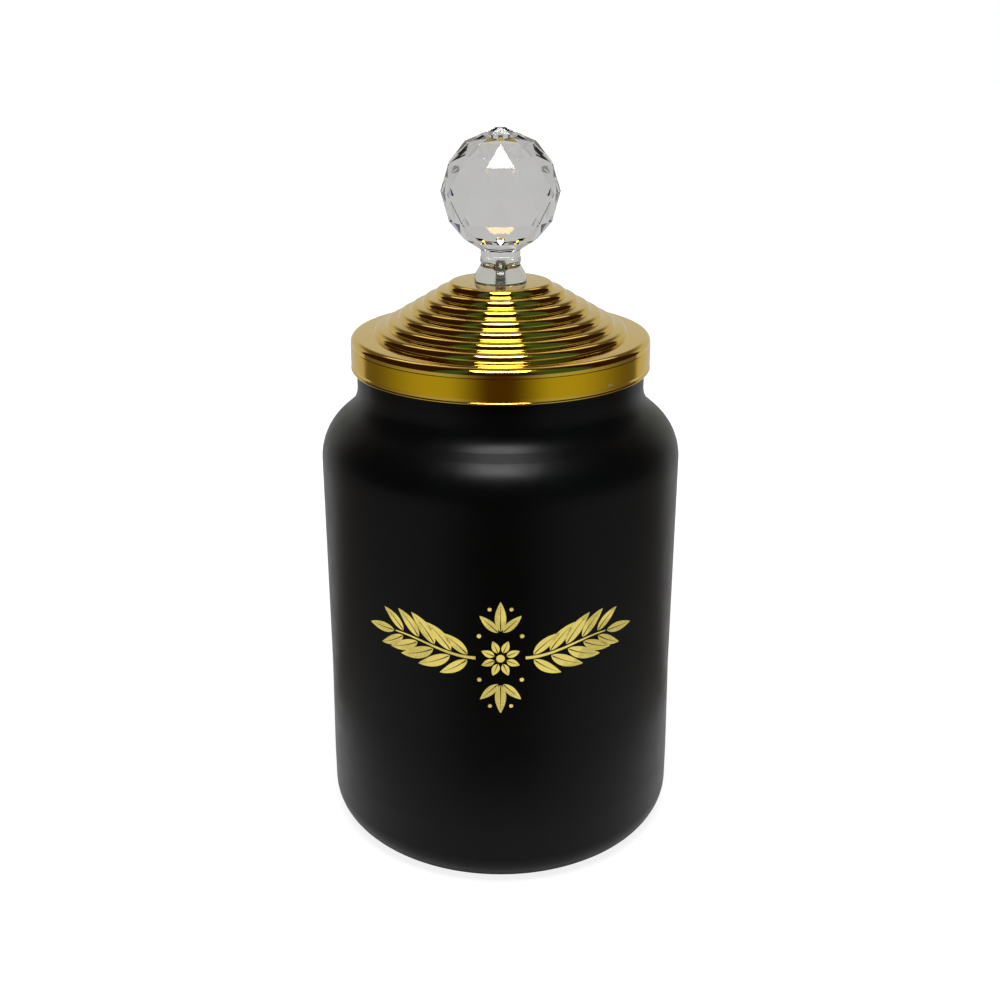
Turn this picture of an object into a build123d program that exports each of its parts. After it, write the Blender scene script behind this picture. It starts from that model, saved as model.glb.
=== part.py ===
# Sugar canister: a glass jar with a stepped gold lid and a cut crystal knob.
# Millimetres, +Z up, origin on the table at the centre of the base, front towards -Y.

import os
from math import cos, pi, sin, tan

from build123d import *

os.makedirs("parts", exist_ok=True)

# Jar
jar_height = 148.0  # table to the land that the lid sits on
body_r = 52.4
neck_r = 41.4
neck_height = 15.1  # corner of the shoulder and neck, below the land
glass_wall = 3.5
shoulder_angle = 40.4  # slope of the shoulder above the horizontal
shoulder_round = 15.5
neck_round = 9.1
round_share = 0.8  # most of the slope that its two roundings may take
least_round = 1.0
land_round = 1.2
heel_round = 9.5
heel_swell = 0.55  # the wall stands this much prouder just above the heel
swell_z = 20.0
swell_top_z = 50.0
swell_round = 60.0
floor_thickness = 5.5
stand_width = 7.4  # flat ring that the jar stands on
punt_depth = 1.5
punt_round = 1.5

# Lid shell
sheet = 0.5
neck_gap = 0.74  # between the neck and the inside of the skirt
skirt_height = 9.3  # hem to the corner of the outer shoulder
edge_round = 1.5
crease_height = 7.0  # hem to the crease
crease_step = 0.12  # the wall above the crease is set in by this much
hem_bead_r = 0.4
hem_bead_out = 0.1  # the hem's bead stands this much prouder than the skirt
crimp_depth = 0.22  # the skirt tucks in by this much above the bead
crimp_height = 0.85
crimp_top_height = 1.5
outer_shoulder = 6.54  # width of the plain ring outside the steps
shoulder_fall = 0.2
step_count = 6
disc_r = 15.0
riser = 1.7
bottom_riser = 1.9  # the riser between the steps and the outer shoulder
riser_lean = 0.1
tread_fall = 0.4
crest_round = 1.2
valley_round = 0.45

# Inner lid and seal
flange = 1.7
glue_gap = 0.1
plug_depth = 13.0
plug_wall = 2.0
plug_gap = 2.4  # between the mouth of the jar and the plug's wall
keeper_height = 1.2  # ledge under the seal
keeper_reach = 1.3
liner_round = 0.5
hollow_round = 1.5  # inside the plug, at its lower edge
hub_r = 9.0
hub_height = 2.5
rib_count = 12
rib_thickness = 1.0
rib_end_gap = 2.5
seal_clearance = 0.3
seal_band = 1.0
seal_slack = 0.1
fin_count = 3
fin_height = 0.9

# Knob
ball_r = 16.65
facets = 12
ball_lift = 24.8  # centre of the ball above the disc
crown_rise = 17.05  # top of the ball above its centre
crown_table_r = 1.3
crown_latitude = 54.0
girdle_latitude = 27.5  # corners above and below the middle
pavilion_latitude = -52.0
collar_r = 5.6
collar_height = 2.0
foot_r = 7.4
foot_height = 5.1
foot_hip_r = 6.68
foot_hip_height = 2.55
foot_waist_r = 5.88
foot_waist_height = 3.88
foot_top_r = 5.5
foot_ring_r = 5.75
foot_ring_height = 1.3
bond = 0.05  # clear adhesive above and below the foot
gasket = 0.3
gasket_edge = 0.5  # the gasket's edge lies this far inside the foot's

# Screw
screw_r = 1.5
screw_clearance = 0.2
thread_fit = 0.02
tip_gap = 0.3
blind_end = 0.5
tip_taper = 0.5
head_r = 2.9
head_height = 2.0
head_round = 0.8
recess_r = 0.9
recess_depth = 1.1
washer_r = 4.5
washer_thickness = 0.8

# Places that follow from the sizes above
punt_r = body_r + heel_swell - heel_round - stand_width
flange_top_height = crease_height - glue_gap
hem_z = jar_height - (flange_top_height - flange)
skirt_r = neck_r + neck_gap + sheet
step_pitch = (skirt_r - outer_shoulder - riser_lean - disc_r) / step_count
shoulder_corner_z = hem_z + skirt_height
last_valley_z = shoulder_corner_z + shoulder_fall
disc_z = last_valley_z + bottom_riser + step_count * (riser + tread_fall)
foot_z = disc_z + gasket + bond
foot_top_z = foot_z + foot_height
foot_ring_z = foot_top_z + foot_ring_height
collar_z = foot_ring_z + bond
ball_z = disc_z + ball_lift
bore_r = neck_r - glass_wall
screw_hole_r = screw_r + screw_clearance


def jar_profile(wall, bottom_z, bottom_round, top_z):
    """Corner points and rounding of the jar's outline, set inward by a wall."""
    turn = (90.0 - shoulder_angle) * pi / 180
    set_down = wall * tan(turn / 2)
    run = (body_r - neck_r) / cos(shoulder_angle * pi / 180)
    room = round_share * run / tan(turn / 2)
    share = min(1.0, room / (shoulder_round + neck_round))
    neck_z = jar_height - neck_height
    shoulder_z = neck_z - (body_r - neck_r) * tan(shoulder_angle * pi / 180)
    points = [
        (body_r + heel_swell - wall, bottom_z),
        (body_r + heel_swell - wall, swell_z),
        (body_r - wall, swell_top_z),
        (body_r - wall, shoulder_z - set_down),
        (neck_r - wall, neck_z - set_down),
        (neck_r - wall, top_z),
    ]
    rounds = [
        bottom_round,
        swell_round,
        swell_round,
        max(share * shoulder_round - wall, least_round),
        share * neck_round + wall,
        land_round,
    ]
    return points, rounds


# Jar: one revolved wall, hollow to the floor, standing on a flat ring round the punt
outer_points, outer_rounds = jar_profile(0.0, 0.0, heel_round, jar_height)
inner_points, inner_rounds = jar_profile(
    glass_wall, floor_thickness, heel_round - glass_wall, jar_height
)
with BuildPart() as glass_jar:
    with BuildSketch(Plane.XZ):
        with BuildLine():
            FilletPolyline(
                (0, punt_depth),
                (punt_r - punt_depth, punt_depth),
                (punt_r, 0),
                *outer_points,
                *reversed(inner_points),
                (0, floor_thickness),
                radius=[0, punt_round, 0]
                + outer_rounds
                + list(reversed(inner_rounds))
                + [0],
                close=True,
            )
        make_face()
    revolve(axis=Axis.Z)
glass_jar.part.label = "glass_jar"
export_step(glass_jar.part, "parts/glass_jar.step")


def lid_skin(depth, crest, valley):
    """Corner points and rounding of the lid's stepped skin, set inward by a depth."""
    points = [(screw_hole_r, disc_z - depth)]
    rounds = [0]
    for step in range(step_count + 1):
        corner_r = disc_r + step * step_pitch - depth
        corner_z = disc_z - step * (riser + tread_fall) - depth
        drop = riser if step < step_count else bottom_riser
        points.append((corner_r, corner_z))
        rounds.append(crest)
        points.append((corner_r + riser_lean, corner_z - drop))
        rounds.append(valley)
    return points, rounds


# Lid shell: stepped sheet with an outer shoulder, a crease, a skirt and a beaded hem.
# The steps are rounded on top and plain underneath, where the inner lid hides them.
top_points, top_rounds = lid_skin(0.0, crest_round, valley_round)
under_points, under_rounds = lid_skin(sheet, 0, 0)
skirt_points = [
    (skirt_r - crease_step, shoulder_corner_z),
    (skirt_r - crease_step, hem_z + crease_height),
    (skirt_r, hem_z + crease_height - crease_step),
    (skirt_r, hem_z + crimp_top_height),
    (skirt_r - crimp_depth, hem_z + crimp_height),
    (skirt_r - crimp_depth, hem_z + hem_bead_r),
    (skirt_r - sheet, hem_z + hem_bead_r),
    (skirt_r - sheet, shoulder_corner_z - sheet),
]
skirt_rounds = [edge_round, 0, 0, 0, 0, 0, 0, edge_round - sheet]
with BuildPart() as lid_shell:
    with BuildSketch(Plane.XZ):
        with BuildLine():
            FilletPolyline(
                *top_points,
                *skirt_points,
                *reversed(under_points),
                radius=top_rounds + skirt_rounds + list(reversed(under_rounds)),
                close=True,
            )
        make_face()
        with Locations((skirt_r + hem_bead_out - hem_bead_r, hem_z + hem_bead_r)):
            Circle(hem_bead_r)
    revolve(axis=Axis.Z)
lid_shell.part.label = "lid_shell"
export_step(lid_shell.part, "parts/lid_shell.step")

# Inner lid: flange on the jar's land, hollow plug in the mouth, ledge under the seal
flange_r = skirt_r - sheet - glue_gap
flange_top_z = hem_z + flange_top_height
plug_r = bore_r - plug_gap
plug_bottom_z = jar_height - plug_depth
with BuildPart() as lid_liner:
    with BuildSketch(Plane.XZ):
        with BuildLine():
            FilletPolyline(
                (0, jar_height),
                (plug_r - plug_wall, jar_height),
                (plug_r - plug_wall, plug_bottom_z),
                (plug_r + keeper_reach, plug_bottom_z),
                (plug_r + keeper_reach, plug_bottom_z + keeper_height),
                (plug_r, plug_bottom_z + keeper_height),
                (plug_r, jar_height),
                (flange_r, jar_height),
                (flange_r, flange_top_z),
                (0, flange_top_z),
                radius=[0, hollow_round, liner_round, liner_round, 0, 0, 0, 0, 0, 0],
                close=True,
            )
        make_face()
    revolve(axis=Axis.Z)
    # Stiffening ring and ribs on the hidden top of the plate
    with BuildSketch(Plane.XY.offset(flange_top_z)):
        Circle(hub_r + rib_thickness)
        Circle(hub_r, mode=Mode.SUBTRACT)
        with PolarLocations((hub_r + plug_r) / 2, rib_count):
            Rectangle(plug_r - hub_r - rib_end_gap, rib_thickness)
    extrude(amount=hub_height)
lid_liner.part.label = "lid_liner"
export_step(lid_liner.part, "parts/lid_liner.step")

# Seal: a soft band on the plug with fins that reach towards the mouth
seal_inner_r = plug_r + seal_slack / 2
seal_outer_r = bore_r - seal_clearance
seal_bottom_z = plug_bottom_z + keeper_height + seal_slack
seal_top_z = jar_height - land_round - seal_slack
fin_pitch = (seal_top_z - seal_bottom_z - fin_height) / (fin_count - 1)
with BuildPart() as seal_ring:
    with BuildSketch(Plane.XZ):
        with Locations((seal_inner_r, seal_bottom_z)):
            Rectangle(seal_band, seal_top_z - seal_bottom_z, align=(Align.MIN, Align.MIN))
        for fin in range(fin_count):
            with Locations((seal_inner_r, seal_bottom_z + fin * fin_pitch)):
                Rectangle(seal_outer_r - seal_inner_r, fin_height, align=(Align.MIN, Align.MIN))
    revolve(axis=Axis.Z)
seal_ring.part.label = "seal_ring"
export_step(seal_ring.part, "parts/seal_ring.step")


def cut_ring(latitude, half_turned):
    """Corners of the cut ball on one level, between those of the next if half turned."""
    angle = latitude * pi / 180
    points = []
    for corner in range(facets):
        around = (corner + 0.5 * half_turned) * 2 * pi / facets
        reach = ball_r * cos(angle)
        points.append((reach * sin(around), -reach * cos(around), ball_z + ball_r * sin(angle)))
    return points


# Ball: triangular facets on five levels, a low crown with a small table, a round collar
corners = []
corners += cut_ring(crown_latitude, 0)
corners += cut_ring(girdle_latitude, 1)
corners += cut_ring(0.0, 0)
corners += cut_ring(-girdle_latitude, 1)
corners += cut_ring(pavilion_latitude, 0)
collar_top_z = collar_z + collar_height
for corner in range(facets):
    around = corner * 2 * pi / facets
    corners.append((crown_table_r * sin(around), -crown_table_r * cos(around), ball_z + crown_rise))
    corners.append((collar_r * sin(around), -collar_r * cos(around), collar_top_z))
with BuildPart() as knob_ball:
    ConvexPolyhedron(corners)
    with BuildSketch(Plane.XY.offset(collar_z)):
        Circle(collar_r)
    extrude(amount=collar_height + collar_r / 2)
knob_ball.part.label = "knob_ball"
export_step(knob_ball.part, "parts/knob_ball.step")

# Foot: a clear bell with a fine ring on top, bored from below for the screw
blind_z = foot_ring_z - blind_end
with BuildPart() as knob_foot:
    with BuildSketch(Plane.XZ):
        with BuildLine():
            Polyline(
                (foot_r, foot_z),
                (screw_r + thread_fit, foot_z),
                (screw_r + thread_fit, blind_z),
                (0, blind_z),
                (0, foot_ring_z),
                (foot_ring_r, foot_ring_z),
                (foot_ring_r, foot_top_z),
                (foot_top_r, foot_top_z),
            )
            Spline(
                (foot_top_r, foot_top_z),
                (foot_waist_r, foot_z + foot_waist_height),
                (foot_hip_r, foot_z + foot_hip_height),
                (foot_r, foot_z),
                tangents=[(0.0, -1.0), (0.05, -1.0)],
            )
        make_face()
    revolve(axis=Axis.Z)
knob_foot.part.label = "knob_foot"
export_step(knob_foot.part, "parts/knob_foot.step")

# Gasket: thin clear washer between the foot and the gold disc
with BuildPart() as knob_gasket:
    with BuildSketch(Plane.XY.offset(disc_z)):
        Circle(foot_r - gasket_edge)
        Circle(screw_hole_r, mode=Mode.SUBTRACT)
    extrude(amount=gasket)
knob_gasket.part.label = "knob_gasket"
export_step(knob_gasket.part, "parts/knob_gasket.step")

# Washer and screw under the disc, inside the lid
disc_under_z = disc_z - sheet
washer_z = disc_under_z - washer_thickness
with BuildPart() as screw_washer:
    with BuildSketch(Plane.XY.offset(washer_z)):
        Circle(washer_r)
        Circle(screw_hole_r, mode=Mode.SUBTRACT)
    extrude(amount=washer_thickness)
screw_washer.part.label = "screw_washer"
export_step(screw_washer.part, "parts/screw_washer.step")

head_z = washer_z - head_height
tip_z = blind_z - tip_gap
with BuildPart() as knob_screw:
    with BuildSketch(Plane.XZ):
        with BuildLine():
            FilletPolyline(
                (0, head_z),
                (head_r, head_z),
                (head_r, washer_z),
                (screw_r, washer_z),
                (screw_r, tip_z - tip_taper),
                (screw_r - tip_taper, tip_z),
                (0, tip_z),
                radius=[0, head_round, 0, 0, 0, 0, 0],
                close=True,
            )
        make_face()
    revolve(axis=Axis.Z)
    with BuildSketch(Plane.XY.offset(head_z)):
        Rectangle(2 * recess_r, recess_r / 2)
        Rectangle(recess_r / 2, 2 * recess_r)
    extrude(amount=recess_depth, mode=Mode.SUBTRACT)
knob_screw.part.label = "knob_screw"
export_step(knob_screw.part, "parts/knob_screw.step")
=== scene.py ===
# Sugar canister: finishes for the jar, the stepped gold lid and the cut crystal knob,
# the printed ornament on the jar, and the studio that they are shown in.
# Metres, +Z up, front of the canister towards -Y.

from math import acos, atan2, cos, hypot, pi, radians, sin, tan, tau

import bmesh
import bpy
from bpy.props import (
    FloatProperty,
    FloatVectorProperty,
    IntProperty,
    PointerProperty,
)
from bpy.types import Operator, Panel, PropertyGroup
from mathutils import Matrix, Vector


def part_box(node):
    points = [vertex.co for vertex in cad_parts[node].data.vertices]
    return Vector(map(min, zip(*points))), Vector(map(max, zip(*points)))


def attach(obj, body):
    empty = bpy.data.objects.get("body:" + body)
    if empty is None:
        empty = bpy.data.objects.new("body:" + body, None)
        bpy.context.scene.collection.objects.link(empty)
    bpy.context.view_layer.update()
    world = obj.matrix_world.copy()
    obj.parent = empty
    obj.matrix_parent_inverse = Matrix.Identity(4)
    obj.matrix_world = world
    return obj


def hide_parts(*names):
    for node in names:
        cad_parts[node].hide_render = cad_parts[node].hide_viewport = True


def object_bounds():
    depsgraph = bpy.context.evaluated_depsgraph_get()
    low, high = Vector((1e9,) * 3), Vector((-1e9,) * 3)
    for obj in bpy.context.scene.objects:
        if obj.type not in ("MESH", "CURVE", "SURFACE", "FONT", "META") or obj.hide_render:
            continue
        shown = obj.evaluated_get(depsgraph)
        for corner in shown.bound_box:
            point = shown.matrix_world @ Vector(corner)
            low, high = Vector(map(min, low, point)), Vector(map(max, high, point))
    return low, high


bl_info = {
    "name": "Sugar Canister",
    "version": (1, 0, 0),
    "blender": (4, 5, 0),
    "location": "3D View > Sidebar > Canister",
    "description": "Finishes a lidded glass canister and lights it on a pale floor",
    "category": "Object",
}

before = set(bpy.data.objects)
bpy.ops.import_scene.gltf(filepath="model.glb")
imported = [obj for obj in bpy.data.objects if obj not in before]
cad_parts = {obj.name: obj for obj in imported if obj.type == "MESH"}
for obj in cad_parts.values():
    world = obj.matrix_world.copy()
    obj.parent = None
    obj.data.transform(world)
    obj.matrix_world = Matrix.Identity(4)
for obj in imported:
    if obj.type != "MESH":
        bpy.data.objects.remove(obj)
cad_low, cad_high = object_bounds()

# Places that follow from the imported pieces
lid_low, lid_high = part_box("lid_shell")
hem_z = lid_low.z
disc_z = lid_high.z
lid_r = lid_high.x
body_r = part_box("glass_jar")[1].x
washer_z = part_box("screw_washer")[1].z

# Ranges of soft noise that are carried over. The narrow one gives plainer patches
SOFT = (0.3, 0.7)
FIRM = (0.35, 0.65)

# Corners nearer than this are one
SAME_POINT = 1e-6

# What every colour and every share among the settings has
COLOUR = {"min": 0.0, "max": 1.0, "subtype": "COLOR"}
SHARE = {"min": 0.0, "max": 1.0, "subtype": "FACTOR"}


# Node helpers

def feed(tree, socket, value):
    """Link a socket to another, or give it a plain value."""
    if isinstance(value, bpy.types.NodeSocket):
        tree.links.new(value, socket)
    else:
        socket.default_value = value


def add(tree, kind, inputs=None, **options):
    """Add a node, set its options and fill its inputs."""
    made = tree.nodes.new(kind)
    for option, choice in options.items():
        setattr(made, option, choice)
    for name, value in (inputs or {}).items():
        feed(tree, made.inputs[name], value)
    return made


def calc(tree, operation, *values):
    """Work out one number from others."""
    made = add(tree, "ShaderNodeMath", operation=operation)
    for socket, value in zip(made.inputs, values):
        feed(tree, socket, value)
    return made.outputs["Value"]


def calc_vector(tree, operation, *values, output="Vector"):
    """Work out a vector, or the length of one, from others."""
    made = add(tree, "ShaderNodeVectorMath", operation=operation)
    for socket, value in zip(made.inputs, values):
        feed(tree, socket, value)
    return made.outputs[output]


def spread(tree, value, low, high, to_low=0.0, to_high=1.0, smooth=True):
    """Carry a value from one range to another, held at both ends."""
    made = add(
        tree,
        "ShaderNodeMapRange",
        {
            "Value": value,
            "From Min": low,
            "From Max": high,
            "To Min": to_low,
            "To Max": to_high,
        },
        interpolation_type="SMOOTHSTEP" if smooth else "LINEAR",
        clamp=True,
    )
    return made.outputs["Result"]


def between(tree, value, rise, fall):
    """One between a range where it rises and a range where it falls."""
    up = spread(tree, value, *rise)
    down = spread(tree, value, *fall, to_low=1.0, to_high=0.0)
    return calc(tree, "MULTIPLY", up, down)


def blend(tree, factor, first, second):
    """Mix two colours by a factor."""
    made = add(tree, "ShaderNodeMix", data_type="RGBA")
    colours = [socket for socket in made.inputs if socket.type == "RGBA"]
    feed(tree, made.inputs["Factor"], factor)
    feed(tree, colours[0], first)
    feed(tree, colours[1], second)
    return [socket for socket in made.outputs if socket.type == "RGBA"][0]


def tones(tree, factor, colour, low, high=1.0):
    """A colour that runs from a darker to a lighter tone of itself."""
    ends = [rgba([min(1.0, level * part) for part in colour]) for level in (low, high)]
    return blend(tree, factor, *ends)


def noise(tree, place, scale, detail=3.0):
    """Soft random values over a place, with so many patches to the metre."""
    made = add(
        tree, "ShaderNodeTexNoise", {"Vector": place, "Scale": scale, "Detail": detail}
    )
    return made.outputs["Fac"]


def varied(tree, cloud, level, either_way):
    """A level that noise moves up and down by so much."""
    return spread(tree, cloud, *SOFT, to_low=level - either_way, to_high=level + either_way)


def bump(tree, height, strength, depth, normal=None):
    """A normal that stands for fine relief of a given depth."""
    made = add(
        tree, "ShaderNodeBump", {"Height": height, "Strength": strength, "Distance": depth}
    )
    if normal is not None:
        feed(tree, made.inputs["Normal"], normal)
    return made.outputs["Normal"]


def place_of(tree):
    """Where a point lies in the piece."""
    return add(tree, "ShaderNodeTexCoord").outputs["Object"]


def parts_of(tree, place):
    """The X, Y and Z of a place or a direction."""
    return add(tree, "ShaderNodeSeparateXYZ", {"Vector": place}).outputs


def reach_of(tree, parts):
    """Distance of a point from the axis."""
    squares = [calc(tree, "POWER", parts[name], 2.0) for name in ("X", "Y")]
    return calc(tree, "SQRT", calc(tree, "ADD", *squares))


def turn_of(tree, parts):
    """How far round the axis a point lies, in whole turns."""
    return calc(tree, "DIVIDE", calc(tree, "ARCTAN2", parts["Y"], parts["X"]), tau)


def rgba(colour):
    """A colour with full cover."""
    return (*colour[:3], 1.0)


def grey(level):
    """A grey with full cover."""
    return (level, level, level, 1.0)


def new_finish(name):
    """A material with its node tree and its main shader."""
    material = bpy.data.materials.new(name)
    material.use_nodes = True
    tree = material.node_tree
    return material, tree, tree.nodes["Principled BSDF"]


def wear(node_name, material):
    """Give one CAD piece a finish."""
    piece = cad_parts[node_name]
    piece.data.materials.clear()
    piece.data.materials.append(material)
    return piece


def put_in(context, name, data):
    """Put a new mesh, lamp or camera into the scene as an object."""
    made = bpy.data.objects.new(name, data)
    context.scene.collection.objects.link(made)
    return made


# Jar

class JarSettings(PropertyGroup):
    spray_colour: FloatVectorProperty(
        name="Spray Colour",
        description="Colour of the satin coat outside",
        default=(0.0012, 0.0012, 0.00125),
        **COLOUR,
    )
    spray_roughness: FloatProperty(
        name="Spray Roughness",
        description="How far the satin coat spreads a highlight",
        default=0.33,
        **SHARE,
    )
    spray_uneven: FloatProperty(
        name="Spray Unevenness",
        description="How far the roughness of the satin coat varies either way",
        default=0.025,
        **SHARE,
    )
    grain_size: FloatProperty(
        name="Grain Size",
        description="Width of one grain of the dried spray",
        default=0.00035,
        min=0.00005,
        unit="LENGTH",
    )
    grain_depth: FloatProperty(
        name="Grain Depth",
        description="Height of the grain of the spray",
        default=0.000008,
        min=0.0,
        unit="LENGTH",
    )
    spray_index: FloatProperty(
        name="Spray Index",
        description="Refractive index of the satin coat, which sets how much it shines",
        default=1.235,
        min=1.0,
        max=2.5,
    )
    spray_sheen: FloatProperty(
        name="Spray Sheen",
        description="Soft light that the fine powder of the spray gathers at grazing angles",
        default=0.055,
        **SHARE,
    )
    inner_roughness: FloatProperty(
        name="Inner Roughness",
        description="Roughness of the bare glass inside",
        default=0.035,
        **SHARE,
    )
    wall_middle: FloatProperty(
        name="Wall Middle",
        description="Distance from the axis to the middle of the wall, in the body",
        default=0.0503,
        unit="LENGTH",
    )
    neck_middle: FloatProperty(
        name="Neck Middle",
        description="Distance from the axis to the middle of the wall, in the neck",
        default=0.0394,
        unit="LENGTH",
    )
    slope_low: FloatProperty(
        name="Slope Bottom",
        description="Height at which the middle of the wall turns in to the shoulder",
        default=0.1223,
        unit="LENGTH",
    )
    slope_high: FloatProperty(
        name="Slope Top",
        description="Height at which the shoulder reaches the neck",
        default=0.132,
        unit="LENGTH",
    )
    floor_middle: FloatProperty(
        name="Floor Middle",
        description="Height of the middle of the jar's floor",
        default=0.0035,
        unit="LENGTH",
    )


def inside_of_jar(tree, settings, height, reach):
    """One in the jar's hollow, and nothing on its outside."""
    wall = spread(
        tree,
        height,
        settings.slope_low,
        settings.slope_high,
        settings.wall_middle,
        settings.neck_middle,
        smooth=False,
    )
    within = calc(tree, "LESS_THAN", reach, wall)
    above = calc(tree, "GREATER_THAN", height, settings.floor_middle)
    return calc(tree, "MULTIPLY", within, above)


def sprayed_glass(settings):
    """Satin black spray outside, and its smooth back seen through the glass inside."""
    material, tree, shader = new_finish("sprayed_glass")
    place = place_of(tree)
    parts = parts_of(tree, place)
    inside = inside_of_jar(tree, settings, parts["Z"], reach_of(tree, parts))
    cloud = spread(tree, noise(tree, place, scale=28.0, detail=4.0), *FIRM)
    coat = tones(tree, cloud, settings.spray_colour, 0.88, 1.14)
    back = rgba([0.6 * part for part in settings.spray_colour])
    feed(tree, shader.inputs["Base Color"], blend(tree, inside, coat, back))
    patches = noise(tree, place, scale=160.0, detail=5.0)
    satin = varied(tree, patches, settings.spray_roughness, settings.spray_uneven)
    outside = calc(tree, "SUBTRACT", 1.0, inside)
    rough = calc(
        tree,
        "ADD",
        calc(tree, "MULTIPLY", satin, outside),
        calc(tree, "MULTIPLY", inside, settings.inner_roughness),
    )
    feed(tree, shader.inputs["Roughness"], rough)
    grain = noise(tree, place, scale=1.0 / settings.grain_size, detail=2.0)
    sprayed = calc(tree, "MULTIPLY", grain, outside)
    relief = bump(tree, sprayed, strength=1.0, depth=settings.grain_depth)
    flow = noise(tree, place, scale=55.0, detail=1.0)
    blown = calc(tree, "MULTIPLY", flow, inside)
    wavy = bump(tree, blown, strength=0.5, depth=0.0003, normal=relief)
    feed(tree, shader.inputs["Normal"], wavy)
    shader.inputs["IOR"].default_value = settings.spray_index
    shader.inputs["Sheen Weight"].default_value = settings.spray_sheen
    shader.inputs["Sheen Roughness"].default_value = 0.4
    return material


class CANISTER_OT_finish_jar(Operator):
    """Spray the jar satin black outside and leave its inside smooth"""

    bl_idname = "canister.finish_jar"
    bl_label = "Finish Jar"

    def execute(self, context):
        wear("glass_jar", sprayed_glass(context.scene.canister_jar))
        return {"FINISHED"}


# Ornament
# The flat drawing is in metres, with the flower at its middle and the branches along X

STEM_START = 0.0068
STEM_LIFT = 0.0042
STEM_WIDTH = 0.0009
STEM_TIP_WIDTH = 0.0004
LEAF_TURN = radians(44.0)
LEAF_BEND = radians(20.0)
LEAF_STALK = 0.0011
TIP_LEAF_STALK = 0.0005
TIP_LEAF_SIZE = 0.8
BRANCH_VEIN = 0.00017
SPRIG_ROOT = Vector((0.0, 0.0072))
SPRIG_STALK = 0.0009
SPRIG_LEAVES = ((-46.0, 0.62), (0.0, 0.78), (46.0, 0.62))  # tilt in degrees, size
BERRIES = ((0.0029, 0.0146, 0.00055), (0.0058, 0.0066, 0.0006))  # across, up, radius
FLOWER_VEIN = 0.00016
FLOWER_EYE = 0.00115
PETALS = 8
PETAL_START = 0.0018
PETAL_LENGTH = 0.0038
PETAL_WIDTH = 0.0021
SPECK_EDGE = (0.02, 0.045)
SPECK_PATCHES = (0.48, 0.56)


class OrnamentSettings(PropertyGroup):
    foil_colour: FloatVectorProperty(
        name="Foil Colour",
        description="Colour of the gold transfer",
        default=(1.0, 0.81, 0.18),
        **COLOUR,
    )
    foil_roughness: FloatProperty(
        name="Foil Roughness",
        description="Roughness of the transfer",
        default=0.42,
        **SHARE,
    )
    centre_height: FloatProperty(
        name="Centre Height",
        description="Height of the middle of the ornament above the table",
        default=0.0745,
        unit="LENGTH",
    )
    half_width: FloatProperty(
        name="Half Width",
        description="Length round the wall from the middle to either end",
        default=0.04,
        unit="LENGTH",
    )
    leaf_length: FloatProperty(
        name="Leaf Length",
        description="Length of the largest leaf",
        default=0.0112,
        unit="LENGTH",
    )
    leaf_width: FloatProperty(
        name="Leaf Width",
        description="Width of the largest leaf",
        default=0.0036,
        unit="LENGTH",
    )
    leaf_pairs: IntProperty(
        name="Leaf Pairs",
        description="Pairs of leaves on each long branch",
        default=5,
        min=1,
        max=12,
    )
    foil_lift: FloatProperty(
        name="Foil Lift",
        description="Height of the transfer's face above the spray",
        default=0.00006,
        unit="LENGTH",
    )
    foil_uneven: FloatProperty(
        name="Foil Unevenness",
        description="How far the roughness of the transfer varies either way",
        default=0.06,
        **SHARE,
    )
    speck_fineness: FloatProperty(
        name="Speck Fineness",
        description="How finely the dark specks in the foil are broken up",
        default=277.17,
        min=1.0,
    )


def speckled_foil(settings):
    """Gold transfer with patches of fine dark specks and a faintly uneven sheen."""
    material, tree, shader = new_finish("speckled_foil")
    place = place_of(tree)
    cloud = spread(tree, noise(tree, place, scale=90.0, detail=4.0), *FIRM)
    foil = tones(tree, cloud, settings.foil_colour, 0.94)
    # The cells follow the colour of noise and not the place, which breaks them into specks
    wander = add(tree, "ShaderNodeTexNoise", {"Vector": place, "Scale": 420.0, "Detail": 3.0})
    cells = add(
        tree,
        "ShaderNodeTexVoronoi",
        {"Vector": wander.outputs["Color"], "Scale": settings.speck_fineness},
        feature="DISTANCE_TO_EDGE",
    )
    dots = spread(tree, cells.outputs["Distance"], *SPECK_EDGE, to_low=1.0, to_high=0.0)
    patches = spread(tree, noise(tree, place, scale=130.0, detail=2.0), *SPECK_PATCHES)
    specks = calc(tree, "MULTIPLY", dots, patches)
    bare = (0.02, 0.018, 0.012, 1.0)
    feed(tree, shader.inputs["Base Color"], blend(tree, specks, foil, bare))
    fine = noise(tree, place, scale=2600.0, detail=2.0)
    rough = varied(tree, fine, settings.foil_roughness, settings.foil_uneven)
    feed(tree, shader.inputs["Roughness"], rough)
    metal = spread(tree, specks, 0.0, 1.0, to_low=0.04, to_high=0.0)
    feed(tree, shader.inputs["Metallic"], metal)
    low = calc(tree, "SUBTRACT", fine, calc(tree, "MULTIPLY", specks, 3.0))
    feed(tree, shader.inputs["Normal"], bump(tree, low, strength=0.6, depth=0.00002))
    return material


def ahead_of(heading):
    """One unit along a heading in the flat drawing."""
    return Vector((cos(heading), sin(heading)))


def leaf_edges(root, heading, length, width, bend, steps=14):
    """The vein and both edges of a pointed leaf, as rows of flat points."""
    vein = []
    edges = ([], [])
    here = Vector(root)
    for step in range(steps + 1):
        along = step / steps
        ahead = ahead_of(heading + bend * along)
        side = Vector((-ahead.y, ahead.x))
        swell = 0.5 * width * sin(pi * along ** 0.8) ** 0.85 if 0 < step < steps else 0.0
        vein.append(here.copy())
        edges[0].append(here + side * swell)
        edges[1].append(here - side * swell)
        here += ahead * (length / steps)
    return vein, edges


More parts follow.
